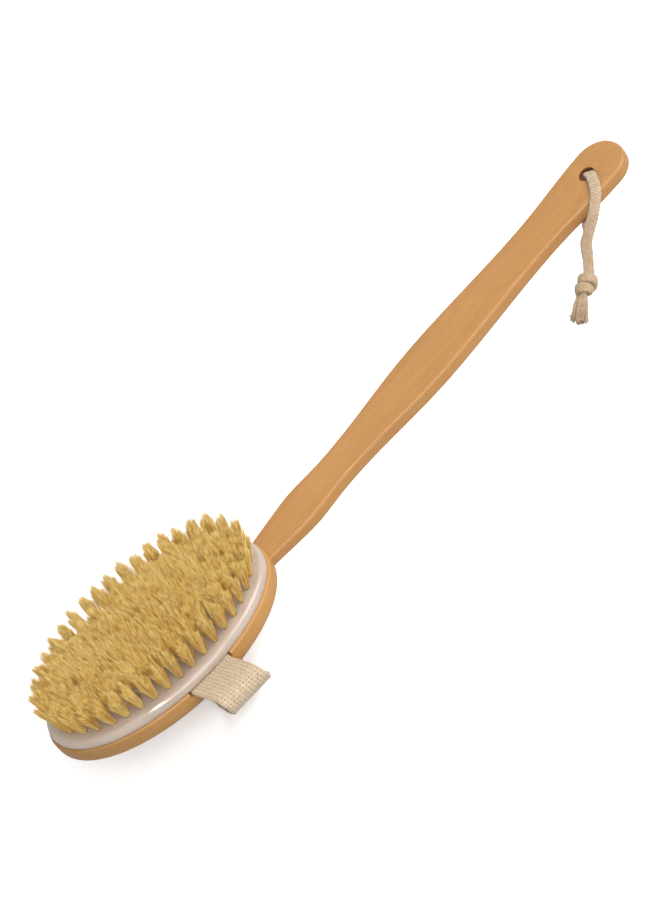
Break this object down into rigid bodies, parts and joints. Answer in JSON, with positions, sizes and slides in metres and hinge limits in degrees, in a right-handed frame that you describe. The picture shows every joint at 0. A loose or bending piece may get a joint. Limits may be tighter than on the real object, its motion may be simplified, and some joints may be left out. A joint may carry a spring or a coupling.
{
  "type": "body brush",
  "caption": "Long-handled wooden body brush: an oval bristle head with a webbing hand strap across its back, a pull-out handle and a knotted hanging cord.",
  "frame": {"origin": "middle of the flat underside of the hand strap, which is the lowest face with the brush lying bristles up", "axes": "+X along the head towards the free end of the handle, +Z from the strap towards the bristle tips, +Y to the side that makes the frame right-handed"},
  "size_m": [0.4044, 0.116, 0.073],
  "materials": {
    "beech_head": "smooth sanded beech with a thin clear wax, fine short grain",
    "beech_handle": "smooth sanded beech with a thin clear wax, grain along the handle",
    "milky_plate": "glossy, slightly translucent milky polymer with a rounded border",
    "boar_bristle": "dense stiff natural bristle, golden with paler tips",
    "anchor_steel": "bright flat staple wire",
    "screw_steel": "zinc plated countersunk screws",
    "tack_steel": "plain steel tacks",
    "cotton_webbing": "plain woven unbleached cotton webbing",
    "cotton_cord": "flat braided unbleached cotton cord"
  },
  "bodies": {
    "head": {"head_block": "beech_head", "bristle_plate": "milky_plate", "plate_screws": "screw_steel", "tufts_outer_ring": "boar_bristle", "tufts_second_ring": "boar_bristle", "tufts_third_ring": "boar_bristle", "tufts_fourth_ring": "boar_bristle", "tufts_centre_row": "boar_bristle", "anchors_outer_ring": "anchor_steel", "anchors_second_ring": "anchor_steel", "anchors_third_ring": "anchor_steel", "anchors_fourth_ring": "anchor_steel", "anchors_centre_row": "anchor_steel", "hand_strap": "cotton_webbing", "strap_tacks_near": "tack_steel", "strap_tacks_far": "tack_steel"},
    "handle": {"handle": "beech_handle"},
    "cord": {"hanging_cord": "cotton_cord"}
  },
  "joints": [
    {"name": "handle_slide", "type": "slide", "parent": "head", "child": "handle", "axis": [0.9914, 0, 0.1305], "range_m": [0, 0.06]},
    {"name": "cord_swing", "type": "hinge", "parent": "handle", "child": "cord", "pos_m": [0.29818, 0, 0.06659], "axis": [-0.1305, 0, 0.9914], "range_deg": [-5, 277]}
  ]
}
